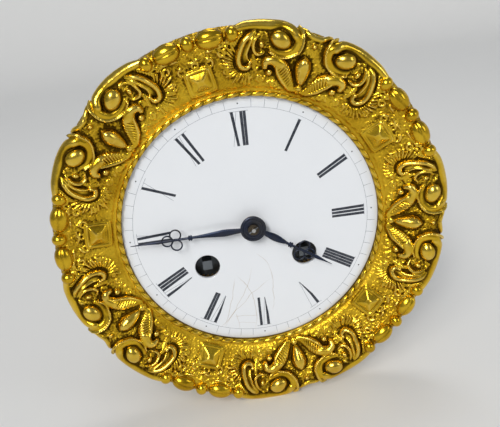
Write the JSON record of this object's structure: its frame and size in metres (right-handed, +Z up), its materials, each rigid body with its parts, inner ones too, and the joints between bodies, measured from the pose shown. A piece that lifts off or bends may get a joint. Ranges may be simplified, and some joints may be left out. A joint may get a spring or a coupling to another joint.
{
  "type": "clock movement",
  "caption": "round striking movement of a column clock with enamel dial, trefoil hands, cast gilt bezel, two barrels, count wheel and bell",
  "frame": {"origin": "on the movement axis, in the plane where the bezel seats on the front of the case", "axes": "+Z up as the dial stands, the dial faces -Y, +X to the right as one looks at the dial"},
  "size_m": [0.149, 0.1055, 0.1487],
  "materials": {
    "gilt": "fire-gilt, bright on the high forms and matted in the ground",
    "brass": "grained and lacquered",
    "steel": "polished",
    "blued_steel": "blued dark, near black",
    "enamel": "fired white enamel",
    "copper": "bare copper",
    "bell_metal": "turned bell metal",
    "spring_steel": "dark spring steel"
  },
  "bodies": {
    "movement": {"bezel_casting": "gilt", "mount_ring": "brass", "bezel_screws": "steel", "ring_posts": "brass", "case_straps": "brass", "strap_screws": "steel", "dial": "enamel", "dial_feet": "copper", "frame_pins": "steel", "front_plate": "brass", "back_plate": "brass", "pillars": "brass", "minute_wheel_stud": "steel", "click_springs": "spring_steel", "pallet_cock": "brass", "suspension_block": "brass", "movement_screws": "steel", "bell_stand": "steel", "bell": "bell_metal", "bell_nut": "steel"},
    "centre": {"centre_arbor": "steel", "centre_wheel": "brass", "cannon_pinion": "steel", "minute_hand": "blued_steel", "hand_collet": "brass", "hand_pin": "steel"},
    "hour": {"hour_wheel": "brass", "hour_hand": "blued_steel"},
    "minute": {"minute_wheel": "brass"},
    "going_great": {"going_barrel": "brass", "going_barrel_cap": "brass", "going_mainspring": "spring_steel"},
    "going_winding": {"going_winding_arbor": "steel", "going_ratchet": "steel"},
    "going_click_arm": {"going_click": "steel"},
    "strike_great": {"strike_barrel": "brass", "strike_barrel_cap": "brass", "strike_mainspring": "spring_steel"},
    "strike_winding": {"strike_winding_arbor": "steel", "strike_ratchet": "steel"},
    "strike_click_arm": {"strike_click": "steel"},
    "going_intermediate": {"going_intermediate_wheel": "brass", "going_intermediate_arbor": "steel"},
    "third": {"third_wheel": "brass", "third_arbor": "steel"},
    "escape": {"escape_wheel": "brass", "escape_arbor": "steel"},
    "pallets": {"anchor": "steel", "pallet_arbor": "steel", "crutch": "steel"},
    "strike_intermediate": {"strike_intermediate_wheel": "brass", "strike_intermediate_arbor": "steel", "count_wheel": "brass"},
    "pin_wheel_set": {"pin_wheel": "brass"},
    "locking_wheel_set": {"locking_wheel": "brass"},
    "warning_wheel_set": {"warning_wheel": "brass"},
    "fly_set": {"fly": "steel"},
    "lifting_lever": {"lifting_piece": "steel"},
    "detent_lever": {"locking_detent": "steel"},
    "hammer_set": {"hammer": "steel"}
  },
  "joints": [
    {"name": "centre_turn", "type": "hinge", "parent": "movement", "child": "centre", "pos_m": [0, 0.025, 0], "axis": [0, -1, 0], "continuous": true},
    {"name": "hour_turn", "type": "hinge", "parent": "movement", "child": "hour", "pos_m": [0, 0.025, 0], "axis": [0, -1, 0], "continuous": true},
    {"name": "minute_wheel_turn", "type": "hinge", "parent": "movement", "child": "minute", "pos_m": [-0.00873, 0.025, 0.00504], "axis": [0, -1, 0], "continuous": true},
    {"name": "going_intermediate_turn", "type": "hinge", "parent": "movement", "child": "going_intermediate", "pos_m": [0.01368, 0.025, 0.00554], "axis": [0, -1, 0], "continuous": true},
    {"name": "going_barrel_turn", "type": "hinge", "parent": "movement", "child": "going_great", "pos_m": [0.0193, 0.025, -0.0148], "axis": [0, -1, 0], "continuous": true},
    {"name": "third_turn", "type": "hinge", "parent": "movement", "child": "third", "pos_m": [0, 0.025, 0.01365], "axis": [0, -1, 0], "continuous": true},
    {"name": "escape_turn", "type": "hinge", "parent": "movement", "child": "escape", "pos_m": [0, 0.025, 0.02597], "axis": [0, -1, 0], "continuous": true},
    {"name": "locking_turn", "type": "hinge", "parent": "movement", "child": "locking_wheel_set", "pos_m": [-0.01589, 0.025, 0.02644], "axis": [0, -1, 0], "continuous": true},
    {"name": "pin_wheel_turn", "type": "hinge", "parent": "movement", "child": "pin_wheel_set", "pos_m": [-0.02229, 0.025, 0.01825], "axis": [0, -1, 0], "continuous": true},
    {"name": "strike_intermediate_turn", "type": "hinge", "parent": "movement", "child": "strike_intermediate", "pos_m": [-0.02451, 0.025, 0.00564], "axis": [0, -1, 0], "continuous": true},
    {"name": "strike_barrel_turn", "type": "hinge", "parent": "movement", "child": "strike_great", "pos_m": [-0.0193, 0.025, -0.0148], "axis": [0, -1, 0], "continuous": true},
    {"name": "warning_turn", "type": "hinge", "parent": "movement", "child": "warning_wheel_set", "pos_m": [-0.01652, 0.025, 0.03361], "axis": [0, -1, 0], "continuous": true},
    {"name": "fly_turn", "type": "hinge", "parent": "movement", "child": "fly_set", "pos_m": [-0.01084, 0.025, 0.03461], "axis": [0, -1, 0], "continuous": true},
    {"name": "going_wind", "type": "hinge", "parent": "movement", "child": "going_winding", "pos_m": [0.0193, 0.025, -0.0148], "axis": [0, -1, 0], "range_deg": [-1440, 0]},
    {"name": "strike_wind", "type": "hinge", "parent": "movement", "child": "strike_winding", "pos_m": [-0.0193, 0.025, -0.0148], "axis": [0, -1, 0], "range_deg": [-1440, 0]},
    {"name": "going_click_lift", "type": "hinge", "parent": "movement", "child": "going_click_arm", "pos_m": [0.02503, 0.004, -0.00403], "axis": [0, -1, 0], "range_deg": [0, 6], "stiffness_Nm_per_rad": 0.001, "springref_deg": -17.19},
    {"name": "strike_click_lift", "type": "hinge", "parent": "movement", "child": "strike_click_arm", "pos_m": [-0.02503, 0.004, -0.00403], "axis": [0, -1, 0], "range_deg": [-6, 0], "stiffness_Nm_per_rad": 0.001, "springref_deg": 17.19},
    {"name": "pallet_swing", "type": "hinge", "parent": "movement", "child": "pallets", "pos_m": [0, 0.025, 0.03857], "axis": [0, -1, 0], "range_deg": [-2.5, 2.5]},
    {"name": "lifting_piece_lift", "type": "hinge", "parent": "movement", "child": "lifting_lever", "pos_m": [-0.03, 0.004, 0.012], "axis": [0, -1, 0], "range_deg": [0, 10]},
    {"name": "detent_lift", "type": "hinge", "parent": "movement", "child": "detent_lever", "pos_m": [-0.0295, 0.025, 0.028], "axis": [0, -1, 0], "range_deg": [0, 8]},
    {"name": "hammer_swing", "type": "hinge", "parent": "movement", "child": "hammer_set", "pos_m": [-0.037, 0.025, 0.0105], "axis": [0, -1, 0], "range_deg": [-12, 0]}
  ],
  "couplings": [
    {"joint": "hour_turn", "follows": "centre_turn", "ratio": 0.083333},
    {"joint": "minute_wheel_turn", "follows": "centre_turn", "ratio": -0.33333},
    {"joint": "going_intermediate_turn", "follows": "centre_turn", "ratio": -0.13889},
    {"joint": "going_barrel_turn", "follows": "centre_turn", "ratio": 0.019841},
    {"joint": "third_turn", "follows": "centre_turn", "ratio": -12},
    {"joint": "escape_turn", "follows": "centre_turn", "ratio": 120},
    {"joint": "pin_wheel_turn", "follows": "locking_turn", "ratio": -0.1},
    {"joint": "strike_intermediate_turn", "follows": "locking_turn", "ratio": 0.011111},
    {"joint": "strike_barrel_turn", "follows": "locking_turn", "ratio": -0.0015873},
    {"joint": "warning_turn", "follows": "locking_turn", "ratio": -9},
    {"joint": "fly_turn", "follows": "locking_turn", "ratio": 63}
  ]
}
